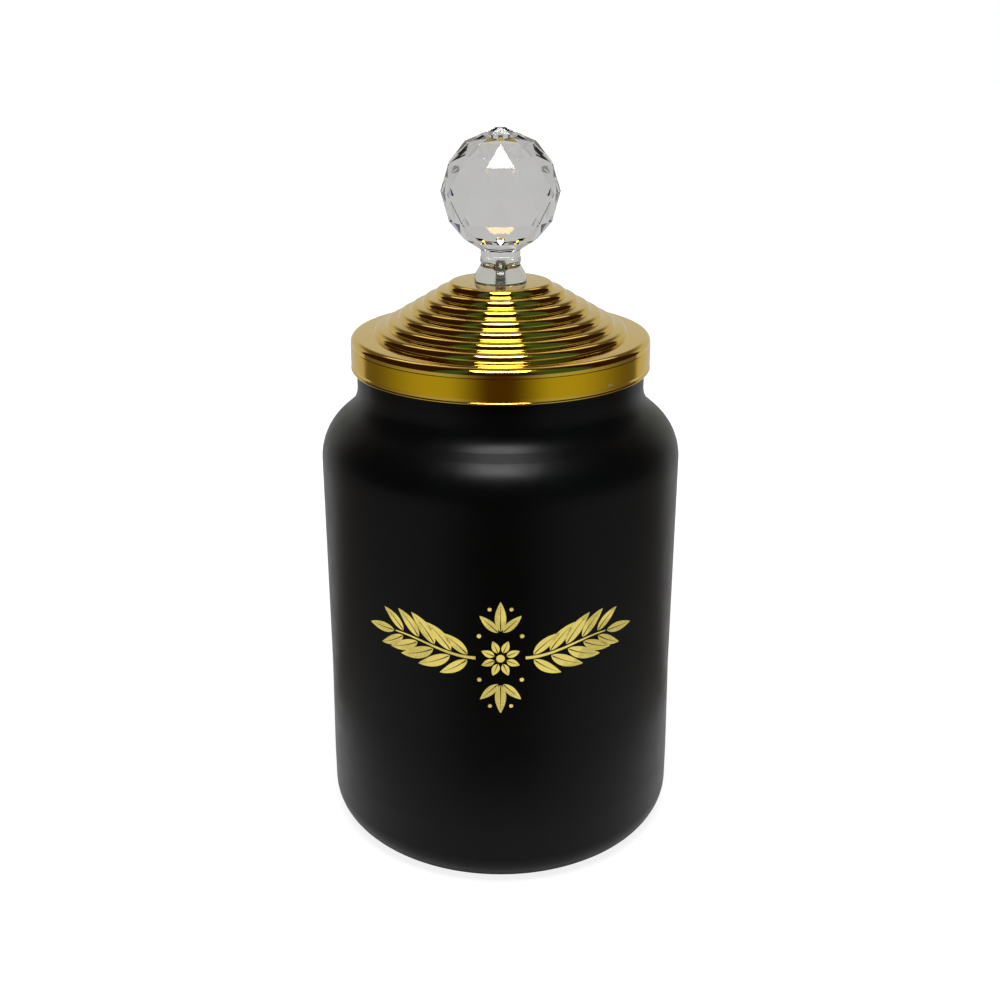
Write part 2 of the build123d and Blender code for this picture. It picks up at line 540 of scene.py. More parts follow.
def leaf_patches(root, heading, length, width, bend, gap):
    """Two halves of a leaf on either side of an open vein that closes near the tip."""
    vein, edges = leaf_edges(root, heading, length, width, bend)
    patches = []
    last = len(vein) - 1
    for edge in edges:
        inner = []
        for step, (middle, rim) in enumerate(zip(vein, edge)):
            out = rim - middle
            open_vein = min(gap * (1.0 - step / last), out.length)
            inner.append(middle + out.normalized() * open_vein if out.length else middle)
        patches.append((inner, edge))
    return patches


def ribbon_patch(line, widths):
    """A strip that follows a line with its own width at each point."""
    left = []
    right = []
    for index, point in enumerate(line):
        ahead = line[min(index + 1, len(line) - 1)] - line[max(index - 1, 0)]
        side = Vector((-ahead.y, ahead.x)).normalized() * widths[index] / 2
        left.append(point + side)
        right.append(point - side)
    return left, right


def disc_patch(centre, radius, steps=16):
    """A round dot, as its lower and upper half circles."""
    lower = []
    upper = []
    for step in range(steps + 1):
        angle = pi * step / steps
        across = centre[0] - radius * cos(angle)
        lower.append(Vector((across, centre[1] - radius * sin(angle))))
        upper.append(Vector((across, centre[1] + radius * sin(angle))))
    return lower, upper


def branch_patches(settings):
    """A branch that runs to the right: a stem with pairs of leaves and one at its end."""
    run = settings.half_width - STEM_START - settings.leaf_length * 0.85
    steps = 40

    def stem_at(along):
        return Vector((STEM_START + run * along, STEM_LIFT * sin(0.5 * pi * along) ** 2))

    def heading_at(along):
        step = stem_at(along + 0.01) - stem_at(along - 0.01)
        return atan2(step.y, step.x)

    line = [stem_at(step / steps) for step in range(steps + 1)]
    thinning = (STEM_WIDTH - STEM_TIP_WIDTH) / steps
    widths = [STEM_WIDTH - thinning * step for step in range(steps + 1)]
    patches = [ribbon_patch(line, widths)]
    for pair in range(settings.leaf_pairs):
        along = (pair + 0.3) / settings.leaf_pairs
        size = 1.0 - 0.25 * abs(2.0 * along - 0.8)
        for side in (-1, 1):
            heading = heading_at(along) + side * LEAF_TURN
            patches += leaf_patches(
                stem_at(along) + ahead_of(heading) * LEAF_STALK,
                heading,
                settings.leaf_length * size,
                settings.leaf_width * size,
                -side * LEAF_BEND,
                BRANCH_VEIN,
            )
    heading = heading_at(1.0)
    patches += leaf_patches(
        stem_at(1.0) + ahead_of(heading) * TIP_LEAF_STALK,
        heading,
        settings.leaf_length * TIP_LEAF_SIZE,
        settings.leaf_width * TIP_LEAF_SIZE,
        0.0,
        BRANCH_VEIN,
    )
    return patches


def sprig_patches(settings):
    """A short upright sprig above the flower: three leaves with two pairs of berries."""
    patches = []
    for tilt, size in SPRIG_LEAVES:
        heading = radians(90.0 + tilt)
        patches += leaf_patches(
            SPRIG_ROOT + ahead_of(heading) * SPRIG_STALK,
            heading,
            settings.leaf_length * size,
            settings.leaf_width * size * 1.1,
            0.0,
            FLOWER_VEIN,
        )
    for side in (-1, 1):
        for across, up, radius in BERRIES:
            patches.append(disc_patch((side * across, up), radius))
    return patches


def flower_patches():
    """The middle of the ornament: a round eye in a ring of petals."""
    patches = [disc_patch((0.0, 0.0), FLOWER_EYE)]
    for petal in range(PETALS):
        heading = (petal + 0.5) * tau / PETALS
        root = ahead_of(heading) * PETAL_START
        patches += leaf_patches(root, heading, PETAL_LENGTH, PETAL_WIDTH, 0.0, FLOWER_VEIN)
    return patches


def spot_on_wall(jar, angle, height):
    """The point of the jar's wall at an angle round from the front, and the way out."""
    out = Vector((sin(angle), -cos(angle), 0.0))
    start = Vector((0.0, 0.0, height)) + out * 2.0 * body_r
    found, spot = jar.ray_cast(start, -out)[:2]
    if not found:
        raise RuntimeError("the ornament reaches past the jar's wall")
    return spot, out


def press_on_wall(build, jar, settings, patch, mirror, across=4):
    """Lay one flat patch on the jar's wall, and add its faces to the mesh."""
    front = spot_on_wall(jar, 0.0, settings.centre_height)[0]
    wall_r = hypot(front.x, front.y)
    rows = []
    for first, second in zip(*patch):
        row = []
        for column in range(across + 1):
            point = first.lerp(second, column / across)
            angle = mirror * point.x / wall_r
            spot, out = spot_on_wall(jar, angle, settings.centre_height + point.y)
            row.append(build.verts.new(spot + out * settings.foil_lift))
        rows.append(row)
    for row, after in zip(rows, rows[1:]):
        for column in range(across):
            near = (row[column], row[column + 1])
            build.faces.new((*near, after[column + 1], after[column]))


class CANISTER_OT_print_ornament(Operator):
    """Print the gold branch ornament on the front of the jar"""

    bl_idname = "canister.print_ornament"
    bl_label = "Print Ornament"

    def execute(self, context):
        settings = context.scene.canister_ornament
        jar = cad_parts["glass_jar"]
        build = bmesh.new()
        for patch in branch_patches(settings):
            for mirror in (-1, 1):
                press_on_wall(build, jar, settings, patch, mirror)
        for patch in sprig_patches(settings):
            under = tuple([Vector((point.x, -point.y)) for point in row] for row in patch)
            for face in (patch, under):
                press_on_wall(build, jar, settings, face, 1)
        for patch in flower_patches():
            press_on_wall(build, jar, settings, patch, 1)
        bmesh.ops.remove_doubles(build, verts=build.verts, dist=SAME_POINT)
        for face in build.faces:
            centre = face.calc_center_median()
            face.smooth = True
            if face.normal.dot(Vector((centre.x, centre.y, 0.0))) < 0:
                face.normal_flip()
        shape = bpy.data.meshes.new("foil_ornament")
        build.to_mesh(shape)
        build.free()
        shape.materials.append(speckled_foil(settings))
        ornament = put_in(context, "foil_ornament", shape)
        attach(ornament, "jar")
        return {"FINISHED"}


# Lid

BEAD_STEPS = 28
SHARP_TURN = radians(14.0)
BAND_FADE = 0.0002  # either side of the crease
DISC_EDGE = 0.0006  # below the disc, where its satin starts
DISC_FULL = 0.0002
STREAK_UP = 260.0  # changes along a streak, to the metre
STREAK_OUT = 60.0
SCUFF_SQUASH = 3.5  # how many times longer the scuff is than it is high


class LidSettings(PropertyGroup):
    gold_colour: FloatVectorProperty(
        name="Gold Colour",
        description="Colour of the lacquered plate seen straight on",
        default=(0.8, 0.51, 0.009),
        **COLOUR,
    )
    step_roughness: FloatProperty(
        name="Step Roughness",
        description="Roughness of the polished steps",
        default=0.07,
        **SHARE,
    )
    disc_roughness: FloatProperty(
        name="Disc Roughness",
        description="Roughness of the flat disc under the knob",
        default=0.2,
        **SHARE,
    )
    skirt_roughness: FloatProperty(
        name="Skirt Roughness",
        description="Roughness of the satin skirt",
        default=0.15,
        **SHARE,
    )
    step_lacquer: FloatProperty(
        name="Step Lacquer",
        description="Cover of clear lacquer on the steps and the disc",
        default=1.0,
        **SHARE,
    )
    skirt_lacquer: FloatProperty(
        name="Skirt Lacquer",
        description="Cover of clear lacquer on the satin skirt",
        default=0.04,
        **SHARE,
    )
    sheet: FloatProperty(
        name="Sheet",
        description="Thickness of the pressed sheet",
        default=0.0005,
        unit="LENGTH",
    )
    hole_r: FloatProperty(
        name="Hole Radius",
        description="Radius of the hole for the screw",
        default=0.0017,
        unit="LENGTH",
    )
    disc_r: FloatProperty(
        name="Disc Radius",
        description="Radius of the flat disc under the knob",
        default=0.015,
        unit="LENGTH",
    )
    steps: IntProperty(
        name="Steps",
        description="Steps between the disc and the outer shoulder",
        default=6,
        min=1,
    )
    step_pitch: FloatProperty(
        name="Step Pitch",
        description="How far out each step stands from the one above",
        default=0.0035,
        unit="LENGTH",
    )
    riser: FloatProperty(
        name="Riser",
        description="Height of the steep part of a step",
        default=0.0017,
        unit="LENGTH",
    )
    bottom_riser: FloatProperty(
        name="Bottom Riser",
        description="Height of the steep part above the outer shoulder",
        default=0.0019,
        unit="LENGTH",
    )
    riser_lean: FloatProperty(
        name="Riser Lean",
        description="How far a riser leans out at its foot",
        default=0.0001,
        unit="LENGTH",
    )
    tread_fall: FloatProperty(
        name="Tread Fall",
        description="How far a tread falls from one riser to the next",
        default=0.0004,
        unit="LENGTH",
    )
    crest_round: FloatProperty(
        name="Crest Rounding",
        description="Rounding on top of each step",
        default=0.00162,
        unit="LENGTH",
    )
    valley_round: FloatProperty(
        name="Valley Rounding",
        description="Rounding at the foot of each riser",
        default=0.0003,
        unit="LENGTH",
    )
    skirt_height: FloatProperty(
        name="Skirt Height",
        description="From the hem to the corner of the outer shoulder",
        default=0.0094,
        unit="LENGTH",
    )
    edge_round: FloatProperty(
        name="Edge Rounding",
        description="Rounding of the outer shoulder",
        default=0.0018,
        unit="LENGTH",
    )
    crease_height: FloatProperty(
        name="Crease Height",
        description="Height of the crease above the hem, where the satin band ends",
        default=0.007,
        unit="LENGTH",
    )
    crease_step: FloatProperty(
        name="Crease Step",
        description="How far the wall is set in above the crease",
        default=0.00006,
        unit="LENGTH",
    )
    crease_run: FloatProperty(
        name="Crease Run",
        description="Height over which the wall is set in at the crease",
        default=0.0002,
        unit="LENGTH",
    )
    tuck_top: FloatProperty(
        name="Tuck Top",
        description="Height above the hem at which the skirt starts to tuck in",
        default=0.0015,
        unit="LENGTH",
    )
    tuck_foot: FloatProperty(
        name="Tuck Foot",
        description="Height above the hem at which the tuck is deepest",
        default=0.0008,
        unit="LENGTH",
    )
    tuck_depth: FloatProperty(
        name="Tuck Depth",
        description="How far the skirt tucks in above its bead",
        default=0.0002,
        unit="LENGTH",
    )
    bead_r: FloatProperty(
        name="Bead Radius",
        description="Radius of the bead along the hem",
        default=0.00035,
        unit="LENGTH",
    )
    bead_height: FloatProperty(
        name="Bead Height",
        description="Height of the middle of the bead above the hem",
        default=0.00018,
        unit="LENGTH",
    )
    skirt_out: FloatProperty(
        name="Skirt Outset",
        description="How far the skirt and its bead stand outside the packed pressing",
        default=0.00025,
        unit="LENGTH",
    )
    bead_out: FloatProperty(
        name="Bead Overhang",
        description="How far the bead stands out from the skirt",
        default=0.0001,
        unit="LENGTH",
    )
    faces_around: IntProperty(
        name="Faces Around",
        description="Faces round the lid",
        default=192,
        min=24,
    )
    streak_count: IntProperty(
        name="Streak Count",
        description="Fine upright streaks round the skirt",
        default=620,
        min=1,
    )
    gold_uneven: FloatProperty(
        name="Gold Unevenness",
        description="How far the roughness of the gold varies either way",
        default=0.02,
        **SHARE,
    )
    scuff_colour: FloatVectorProperty(
        name="Scuff Colour",
        description="Pale colour of the small scuff",
        default=(0.86, 0.74, 0.46),
        **COLOUR,
    )
    scuff_roughness: FloatProperty(
        name="Scuff Roughness",
        description="How much rougher the scuff is than the skirt round it",
        default=0.25,
        **SHARE,
    )
    scuff_turn: FloatProperty(
        name="Scuff Turn",
        description="Where the small scuff lies round the skirt, from the front",
        subtype="ANGLE",
        default=radians(43.0),
    )
    scuff_height: FloatProperty(
        name="Scuff Height",
        description="Height of the scuff above the hem",
        default=0.0022,
        unit="LENGTH",
    )
    scuff_length: FloatProperty(
        name="Scuff Length",
        description="Length of the scuff",
        default=0.0022,
        min=0.0001,
        unit="LENGTH",
    )


def rounded_outline(points, rounds, degrees=9.0):
    """Outline through corner points, each rounded by its own radius in short steps."""
    outline = []
    count = len(points)
    for index, (here, radius) in enumerate(zip(points, rounds)):
        here = Vector(here)
        if radius <= 0.0:
            outline.append(here)
            continue
        back = (Vector(points[index - 1]) - here).normalized()
        ahead = (Vector(points[(index + 1) % count]) - here).normalized()
        opening = acos(max(-1.0, min(1.0, back.dot(ahead))))
        middle = here + (back + ahead).normalized() * radius / sin(opening / 2)
        start = here + back * radius / tan(opening / 2) - middle
        turn = start.angle_signed(here + ahead * radius / tan(opening / 2) - middle)
        steps = max(2, round(abs(turn) / radians(degrees)))
        for step in range(steps + 1):
            angle = -turn * step / steps
            swung = Vector(
                (
                    start.x * cos(angle) - start.y * sin(angle),
                    start.x * sin(angle) + start.y * cos(angle),
                )
            )
            outline.append(middle + swung)
    return outline


def stepped_skin(settings, depth, crest, valley):
    """Corners and roundings of the lid's stepped skin, set in by a depth."""
    points = [(settings.hole_r, disc_z - depth)]
    rounds = [0.0]
    for step in range(settings.steps + 1):
        drop = settings.riser if step < settings.steps else settings.bottom_riser
        corner_r = settings.disc_r + step * settings.step_pitch - depth
        corner_z = disc_z - step * (settings.riser + settings.tread_fall) - depth
        points.append((corner_r, corner_z))
        rounds.append(crest)
        points.append((corner_r + settings.riser_lean, corner_z - drop))
        rounds.append(valley)
    return points, rounds


def lid_outline(settings):
    """The lid's section from the screw hole over the steps to the hem and back inside."""
    hem_r = lid_r + settings.skirt_out
    skirt_r = hem_r - settings.bead_out
    top, top_rounds = stepped_skin(settings, 0.0, settings.crest_round, settings.valley_round)
    under, under_rounds = stepped_skin(settings, settings.sheet, 0.0, 0.0)
    corner_z = hem_z + settings.skirt_height
    crease_z = hem_z + settings.crease_height
    bead_middle = Vector((hem_r - settings.bead_r, hem_z + settings.bead_height))
    bead = []
    first = acos((skirt_r - settings.tuck_depth - bead_middle.x) / settings.bead_r)
    last = -tau + acos((skirt_r - settings.sheet - bead_middle.x) / settings.bead_r)
    for step in range(BEAD_STEPS + 1):
        angle = first + (last - first) * step / BEAD_STEPS
        bead.append(bead_middle + Vector((cos(angle), sin(angle))) * settings.bead_r)
    skirt = [
        (skirt_r - settings.crease_step, corner_z),
        (skirt_r - settings.crease_step, crease_z),
        (skirt_r, crease_z - settings.crease_run),
        (skirt_r, hem_z + settings.tuck_top),
        (skirt_r - settings.tuck_depth, hem_z + settings.tuck_foot),
        *bead,
        (skirt_r - settings.sheet, corner_z - settings.sheet),
    ]
    inner_round = settings.edge_round - settings.sheet
    skirt_rounds = [settings.edge_round] + [0.0] * (len(skirt) - 2) + [inner_round]
    return rounded_outline(
        top + skirt + under[::-1], top_rounds + skirt_rounds + under_rounds[::-1]
    )


def turned_shape(name, outline, around):
    """A closed outline swept round the axis, with creases where it turns sharply."""
    build = bmesh.new()
    rings = []
    for turn in range(around):
        angle = tau * turn / around
        ring = []
        for point in outline:
            ring.append(build.verts.new((point.x * sin(angle), -point.x * cos(angle), point.y)))
        rings.append(ring)
    for ring, beside in zip(rings, rings[1:] + rings[:1]):
        for index in range(len(outline)):
            after = (index + 1) % len(outline)
            face = build.faces.new((ring[index], ring[after], beside[after], beside[index]))
            face.smooth = True
    bmesh.ops.recalc_face_normals(build, faces=build.faces)
    for edge in build.edges:
        if len(edge.link_faces) == 2 and edge.calc_face_angle() > SHARP_TURN:
            edge.smooth = False
    shape = bpy.data.meshes.new(name)
    build.to_mesh(shape)
    build.free()
    return shape


def satin_band(tree, settings, height):
    """One on the skirt between its bead and the crease."""
    crease_z = hem_z + settings.crease_height
    below = spread(
        tree, height, crease_z - BAND_FADE, crease_z + BAND_FADE, to_low=1.0, to_high=0.0
    )
    above = spread(tree, height, hem_z + settings.tuck_foot, hem_z + settings.tuck_top)
    return calc(tree, "MULTIPLY", below, above)


def upright_streaks(tree, settings, parts):
    """Noise drawn out along the height, with so many streaks round the lid."""
    turn = turn_of(tree, parts)
    place = add(
        tree,
        "ShaderNodeCombineXYZ",
        {
            "X": calc(tree, "MULTIPLY", turn, float(settings.streak_count)),
            "Y": calc(tree, "MULTIPLY", parts["Z"], STREAK_UP),
            "Z": calc(tree, "MULTIPLY", reach_of(tree, parts), STREAK_OUT),
        },
    ).outputs["Vector"]
    return noise(tree, place, scale=1.0)


def scuff_mask(tree, settings, place):
    """One small pale scuff low on the skirt, with a ragged rim."""
    spot = Vector(
        (
            lid_r * sin(settings.scuff_turn),
            -lid_r * cos(settings.scuff_turn),
            hem_z + settings.scuff_height,
        )
    )
    offset = calc_vector(tree, "SUBTRACT", place, spot)
    flat = calc_vector(tree, "MULTIPLY", offset, (1.0, 1.0, SCUFF_SQUASH))
    far = calc_vector(tree, "LENGTH", flat, output="Value")
    length = settings.scuff_length
    hairs = noise(tree, place, scale=900.0, detail=2.0)
    ragged = calc(tree, "ADD", far, calc(tree, "MULTIPLY", hairs, length * 0.6))
    return spread(tree, ragged, length * 0.55, length * 0.9, to_low=0.85, to_high=0.0)


def gold_plate(settings):
    """Lacquered gold plate: polished steps, a softer disc and a satin skirt."""
    material, tree, shader = new_finish("gold_plate")
    place = place_of(tree)
    parts = parts_of(tree, place)
    height = parts["Z"]
    satin = satin_band(tree, settings, height)
    disc = spread(tree, height, disc_z - DISC_EDGE, disc_z - DISC_FULL)
    streaks = upright_streaks(tree, settings, parts)
    patches = noise(tree, place, scale=45.0, detail=4.0)
    scuff = scuff_mask(tree, settings, place)
    rough = varied(tree, patches, settings.step_roughness, settings.gold_uneven)
    swing = varied(tree, streaks, 0.0, settings.gold_uneven)
    for share, change in (
        (satin, settings.skirt_roughness - settings.step_roughness),
        (disc, settings.disc_roughness - settings.step_roughness),
        (satin, swing),
        (scuff, settings.scuff_roughness),
    ):
        rough = calc(tree, "ADD", rough, calc(tree, "MULTIPLY", share, change))
    feed(tree, shader.inputs["Roughness"], rough)
    plain = tones(tree, spread(tree, patches, *FIRM), settings.gold_colour, 0.97, 1.03)
    scuffed = blend(tree, scuff, plain, rgba(settings.scuff_colour))
    feed(tree, shader.inputs["Base Color"], scuffed)
    drawn = bump(tree, calc(tree, "MULTIPLY", streaks, satin), strength=0.12, depth=0.00001)
    waves = noise(tree, place, scale=70.0, detail=1.0)
    dents = bump(tree, waves, strength=0.3, depth=0.00006, normal=drawn)
    feed(tree, shader.inputs["Normal"], dents)
    shader.inputs["Metallic"].default_value = 1.0
    edge_tint = blend(tree, satin, (1.0, 0.86, 0.5, 1.0), grey(1.0))
    feed(tree, shader.inputs["Specular Tint"], edge_tint)
    lacquer = blend(tree, satin, grey(settings.step_lacquer), grey(settings.skirt_lacquer))
    feed(tree, shader.inputs["Coat Weight"], lacquer)
    shader.inputs["Coat Roughness"].default_value = 0.08
    shader.inputs["Coat IOR"].default_value = 1.7
    return material


class CANISTER_OT_finish_lid(Operator):
    """Turn the stepped lid and plate it: polished steps, satin skirt, bright hem"""

    bl_idname = "canister.finish_lid"
    bl_label = "Finish Lid"

    def execute(self, context):
        settings = context.scene.canister_lid
        shape = turned_shape("gold_lid", lid_outline(settings), settings.faces_around)
        shape.materials.append(gold_plate(settings))
        lid = put_in(context, "gold_lid", shape)
        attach(lid, "lid")
        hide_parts("lid_shell")
        return {"FINISHED"}


# Inner lid

class InnerLidSettings(PropertyGroup):
    plastic_colour: FloatVectorProperty(
        name="Plastic Colour",
        description="Colour of the moulded inner lid",
        default=(0.8, 0.8, 0.78),
        **COLOUR,
    )
    silicone_colour: FloatVectorProperty(
        name="Silicone Colour",
        description="Colour of the seal",
        default=(0.78, 0.8, 0.79),
        **COLOUR,
    )


def moulded_plastic(settings):
    """White moulded plastic with a fine sparked texture."""
    material, tree, shader = new_finish("moulded_plastic")
    place = place_of(tree)
    cloud = spread(tree, noise(tree, place, scale=35.0), *FIRM)
    colour = tones(tree, cloud, settings.plastic_colour, 0.97, 1.02)
    feed(tree, shader.inputs["Base Color"], colour)
    spark = noise(tree, place, scale=2200.0)
    feed(tree, shader.inputs["Roughness"], spread(tree, spark, *SOFT, 0.38, 0.5))
    feed(tree, shader.inputs["Normal"], bump(tree, spark, strength=0.5, depth=0.00002))
    shader.inputs["IOR"].default_value = 1.49
    shader.inputs["Subsurface Weight"].default_value = 0.15
    shader.inputs["Subsurface Radius"].default_value = (0.0012, 0.0011, 0.001)
    return material


def soft_silicone(settings):
    """Translucent silicone with a dusty face."""
    material, tree, shader = new_finish("soft_silicone")
    place = place_of(tree)
    cloud = noise(tree, place, scale=60.0, detail=4.0)
    colour = tones(tree, spread(tree, cloud, *FIRM), settings.silicone_colour, 0.95, 1.02)
    feed(tree, shader.inputs["Base Color"], colour)
    feed(tree, shader.inputs["Roughness"], spread(tree, cloud, *SOFT, 0.32, 0.46))
    dust = noise(tree, place, scale=700.0, detail=2.0)
    feed(tree, shader.inputs["Normal"], bump(tree, dust, strength=0.4, depth=0.00002))
    shader.inputs["Transmission Weight"].default_value = 0.45
    shader.inputs["IOR"].default_value = 1.41
    return material


class CANISTER_OT_finish_inner_lid(Operator):
    """Finish the moulded inner lid and its silicone seal"""

    bl_idname = "canister.finish_inner_lid"
    bl_label = "Finish Inner Lid"

    def execute(self, context):
        settings = context.scene.canister_inner_lid
        wear("lid_liner", moulded_plastic(settings))
        wear("seal_ring", soft_silicone(settings))
        return {"FINISHED"}


# Knob

FACET_TURN = radians(12.0)  # edges that turn by more than this are polished


class KnobSettings(PropertyGroup):
    crystal_colour: FloatVectorProperty(
        name="Crystal Colour",
        description="Tint of the cut crystal",
        default=(0.975, 0.975, 0.98),
        **COLOUR,
    )
    crystal_index: FloatProperty(
        name="Crystal Index",
        description="Refractive index of the crystal",
        default=1.46,
        min=1.0,
        max=2.5,
    )
    edge_polish: FloatProperty(
        name="Edge Polish",
        description="Width of the polished edge between two facets",
        default=0.00012,
        min=0.0,
        unit="LENGTH",
    )
    foot_colour: FloatVectorProperty(
        name="Foot Colour",
        description="Tint of the clear foot",
        default=(0.93, 0.93, 0.86),
        **COLOUR,
    )
    gasket_colour: FloatVectorProperty(
        name="Gasket Colour",
        description="Colour of the soft washer under the foot",
        default=(0.85, 0.86, 0.86),
        **COLOUR,
    )


def cut_crystal(settings):
    """Clear polished crystal with the faintest polishing haze."""
    material, tree, shader = new_finish("cut_crystal")
    haze = noise(tree, place_of(tree), scale=240.0)
    tint = tones(tree, spread(tree, haze, *FIRM), settings.crystal_colour, 0.985)
    feed(tree, shader.inputs["Base Color"], tint)
    feed(tree, shader.inputs["Roughness"], spread(tree, haze, 0.5, 0.75, 0.0, 0.02))
    shader.inputs["Transmission Weight"].default_value = 1.0
    shader.inputs["IOR"].default_value = settings.crystal_index
    return material


def clear_foot(settings):
    """Clear moulded foot, a little wavy from its mould."""
    material, tree, shader = new_finish("clear_foot")
    wave = noise(tree, place_of(tree), scale=170.0, detail=2.0)
    tint = tones(tree, spread(tree, wave, *FIRM), settings.foot_colour, 0.98)
    feed(tree, shader.inputs["Base Color"], tint)
    feed(tree, shader.inputs["Roughness"], spread(tree, wave, *SOFT, 0.01, 0.035))
    feed(tree, shader.inputs["Normal"], bump(tree, wave, strength=0.35, depth=0.0003))
    shader.inputs["Transmission Weight"].default_value = 1.0
    shader.inputs["IOR"].default_value = 1.49
    return material


def milky_gasket(settings):
    """Soft clear washer, slightly milky."""
    material, tree, shader = new_finish("milky_gasket")
    cloud = noise(tree, place_of(tree), scale=500.0)
    feed(tree, shader.inputs["Base Color"], tones(tree, cloud, settings.gasket_colour, 0.93))
    feed(tree, shader.inputs["Roughness"], spread(tree, cloud, *SOFT, 0.3, 0.45))
    shader.inputs["Transmission Weight"].default_value = 0.6
    shader.inputs["IOR"].default_value = 1.42
    return material


class CANISTER_OT_finish_knob(Operator):
    """Polish the crystal ball, its clear foot and the washer under it"""

    bl_idname = "canister.finish_knob"
    bl_label = "Finish Knob"

    def execute(self, context):
        settings = context.scene.canister_knob
        ball = wear("knob_ball", cut_crystal(settings))
        weld = ball.modifiers.new("weld", "WELD")
        weld.merge_threshold = SAME_POINT
        polish = ball.modifiers.new("polish", "BEVEL")
        polish.width = settings.edge_polish
        polish.segments = 2
        polish.limit_method = "ANGLE"
        polish.angle_limit = FACET_TURN
        wear("knob_foot", clear_foot(settings))
        wear("knob_gasket", milky_gasket(settings))
        return {"FINISHED"}


# Screw

TURNED_RINGS = 9000.0  # to the metre


class ScrewSettings(PropertyGroup):
    steel_colour: FloatVectorProperty(
        name="Steel Colour",
        description="Colour of the plated steel",
        default=(0.46, 0.44, 0.41),
        **COLOUR,
    )
    thread_pitch: FloatProperty(
        name="Thread Pitch",
        description="Rise of the thread in one turn",
        default=0.0005,
        min=0.0001,
        unit="LENGTH",
    )
    thread_depth: FloatProperty(
        name="Thread Depth",
        description="Depth of the thread",
        default=0.00025,
        unit="LENGTH",
    )


def plated_steel(settings):
    """Zinc plated steel, turned on its flats, with a thread on the shank."""
    material, tree, shader = new_finish("plated_steel")
    place = place_of(tree)
    parts = parts_of(tree, place)
    cloud = noise(tree, place, scale=300.0, detail=4.0)
    colour = tones(tree, spread(tree, cloud, *SOFT), settings.steel_colour, 0.82, 1.1)
    feed(tree, shader.inputs["Base Color"], colour)
    feed(tree, shader.inputs["Roughness"], spread(tree, cloud, *SOFT, 0.24, 0.42))
    outward = calc(tree, "MULTIPLY", reach_of(tree, parts), TURNED_RINGS)
    rings_place = add(tree, "ShaderNodeCombineXYZ", {"X": outward}).outputs["Vector"]
    rings = noise(tree, rings_place, scale=1.0, detail=2.0)
    turned = bump(tree, rings, strength=0.3, depth=0.00002)
    climb = calc(
        tree,
        "SUBTRACT",
        calc(tree, "DIVIDE", parts["Z"], settings.thread_pitch),
        turn_of(tree, parts),
    )
    ridge = calc(tree, "ABSOLUTE", calc(tree, "SUBTRACT", calc(tree, "FRACT", climb), 0.5))
    shank = spread(tree, parts["Z"], washer_z, washer_z + settings.thread_pitch)
    thread = calc(tree, "MULTIPLY", ridge, shank)
    depth = 2.0 * settings.thread_depth
    cut = bump(tree, thread, strength=1.0, depth=depth, normal=turned)
    feed(tree, shader.inputs["Normal"], cut)
    shader.inputs["Metallic"].default_value = 1.0
    return material


class CANISTER_OT_finish_screw(Operator):
    """Plate the screw that holds the knob, and its washer"""

    bl_idname = "canister.finish_screw"
    bl_label = "Finish Screw"

    def execute(self, context):
        steel = plated_steel(context.scene.canister_screw)
        wear("knob_screw", steel)
        wear("screw_washer", steel)
        return {"FINISHED"}


# Stage

def arc(low, high):
    """A range of angles given in degrees."""
    return radians(low), radians(high)


# The room round the canister. Angles lie from straight ahead, and heights and sides
# are parts of a direction of length one
SIDES = (-0.3, 0.3)
GREEN_RISE = arc(22.0, 34.0)
GREEN_FALL = arc(46.0, 54.0)
WALL_RISE = arc(124.0, 130.0)
WALL_HEIGHTS = (0.28, 0.5)
STRIP_RISE = arc(130.0, 140.0)
STRIP_FALL = arc(168.0, 174.0)
STRIP_FOOT = (0.62, 0.66)
STRIP_TOP = (0.79, 0.83)
GLASS_RISE = arc(60.0, 120.0)

# The floor changes three times round the canister, as metal shows it: the angles of
# each change and how much paler it makes the floor
FLOOR_CHANGES = ((arc(6.0, 42.0), 0.64), (arc(50.0, 110.0), -0.5), (arc(119.0, 124.0), 0.7))
TABLE_FADE = 0.03
FLOOR_HALF = 4.0
FLOOR_WHITE = 1.25
SHADOW_REACH = (0.1, 0.4)
SHADOW_COVER = (0.68, 1.0)
FAR_REACH = (0.058, 0.1)


